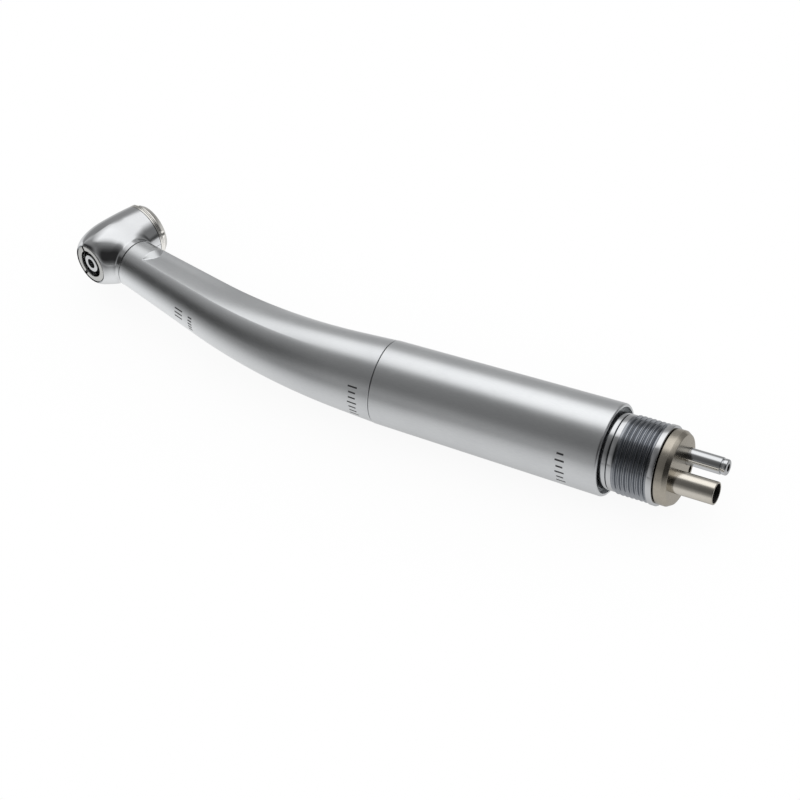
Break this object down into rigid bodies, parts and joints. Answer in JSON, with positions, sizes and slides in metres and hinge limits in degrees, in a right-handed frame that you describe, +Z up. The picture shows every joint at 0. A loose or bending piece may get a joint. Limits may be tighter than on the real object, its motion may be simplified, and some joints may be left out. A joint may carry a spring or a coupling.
{
  "type": "dental high speed handpiece",
  "caption": "Air-turbine dental handpiece: push-button head, bent satin neck, tapered handle and a threaded back end with two connector tubes.",
  "frame": {"origin": "centre of the hose end face of the end plate", "axes": "+X along the handle's axis, out towards the hose; the neck and the head's axis lie in the XY plane with the bur side towards -Y; +Z is up, out of one side of the handpiece, which lies on its side"},
  "size_m": [0.121, 0.028, 0.0154],
  "materials": {
    "satin_steel": "satin blasted",
    "mirror_chrome": "mirror polished",
    "black_chrome": "dark polished",
    "nickel": "warm nickel, turned",
    "bearing_steel": "ground",
    "spring_steel": "drawn wire",
    "brass": "machined",
    "aluminium": "machined",
    "cage_resin": "moulded",
    "black_rubber": "moulded",
    "sintered_bronze": "porous"
  },
  "bodies": {
    "casing": {"head_housing": "mirror_chrome", "nose_ring": "nickel", "head_cap": "nickel", "button_spring": "spring_steel", "front_bearing_outer_ring": "bearing_steel", "rear_bearing_outer_ring": "bearing_steel", "front_bearing_seal": "black_rubber", "rear_bearing_seal": "black_rubber", "preload_washer": "spring_steel", "neck_sleeve": "satin_steel", "neck_seal": "black_rubber", "drive_air_tube": "bearing_steel", "water_tube": "bearing_steel", "chip_air_tube": "bearing_steel", "tube_spacer": "aluminium", "handle_sleeve": "satin_steel", "core_block": "brass", "core_front_seal": "black_rubber", "core_rear_seal": "black_rubber", "check_valve_seat": "brass", "check_valve_spring": "spring_steel", "air_filter": "sintered_bronze", "drive_air_gasket": "black_rubber", "water_gasket": "black_rubber", "snap_ring": "mirror_chrome", "connector_body": "black_chrome", "polished_ring": "mirror_chrome", "end_plate": "nickel", "drive_air_nipple": "nickel", "water_nipple": "mirror_chrome"},
    "rotor": {"spindle": "bearing_steel", "impeller": "aluminium", "chuck_collet": "bearing_steel", "chuck_spring": "spring_steel", "front_bearing_inner_ring": "bearing_steel", "rear_bearing_inner_ring": "bearing_steel"},
    "front_cage": {"front_ball_cage": "cage_resin"},
    "rear_cage": {"rear_ball_cage": "cage_resin"},
    "button": {"push_button": "mirror_chrome"},
    "plunger": {"chuck_plunger": "bearing_steel"},
    "valve_ball": {"check_valve_ball": "bearing_steel"}
  },
  "joints": [
    {"name": "rotor_spin", "type": "hinge", "parent": "casing", "child": "rotor", "pos_m": [-0.10856, 0.01129, 0], "axis": [-0.3584, -0.9336, 0], "continuous": true},
    {"name": "front_cage_spin", "type": "hinge", "parent": "casing", "child": "front_cage", "pos_m": [-0.10856, 0.01129, 0], "axis": [-0.3584, -0.9336, 0], "continuous": true},
    {"name": "rear_cage_spin", "type": "hinge", "parent": "casing", "child": "rear_cage", "pos_m": [-0.10856, 0.01129, 0], "axis": [-0.3584, -0.9336, 0], "continuous": true},
    {"name": "button_press", "type": "slide", "parent": "casing", "child": "button", "axis": [-0.3584, -0.9336, 0], "range_m": [0, 0.0006], "stiffness_N_per_m": 1000, "springref_m": -0.0003, "deforming": ["button_spring"]},
    {"name": "chuck_release", "type": "slide", "parent": "rotor", "child": "plunger", "axis": [-0.3584, -0.9336, 0], "range_m": [0, 0.00045], "deforming": ["chuck_spring"]},
    {"name": "check_valve_open", "type": "slide", "parent": "casing", "child": "valve_ball", "axis": [-1, 0, 0], "range_m": [0, 0.0004], "stiffness_N_per_m": 200, "springref_m": -0.0002, "deforming": ["check_valve_spring"]}
  ],
  "couplings": [
    {"joint": "front_cage_spin", "follows": "rotor_spin", "ratio": 0.395},
    {"joint": "rear_cage_spin", "follows": "rotor_spin", "ratio": 0.395},
    {"joint": "chuck_release", "follows": "button_press", "ratio": 0.75}
  ]
}
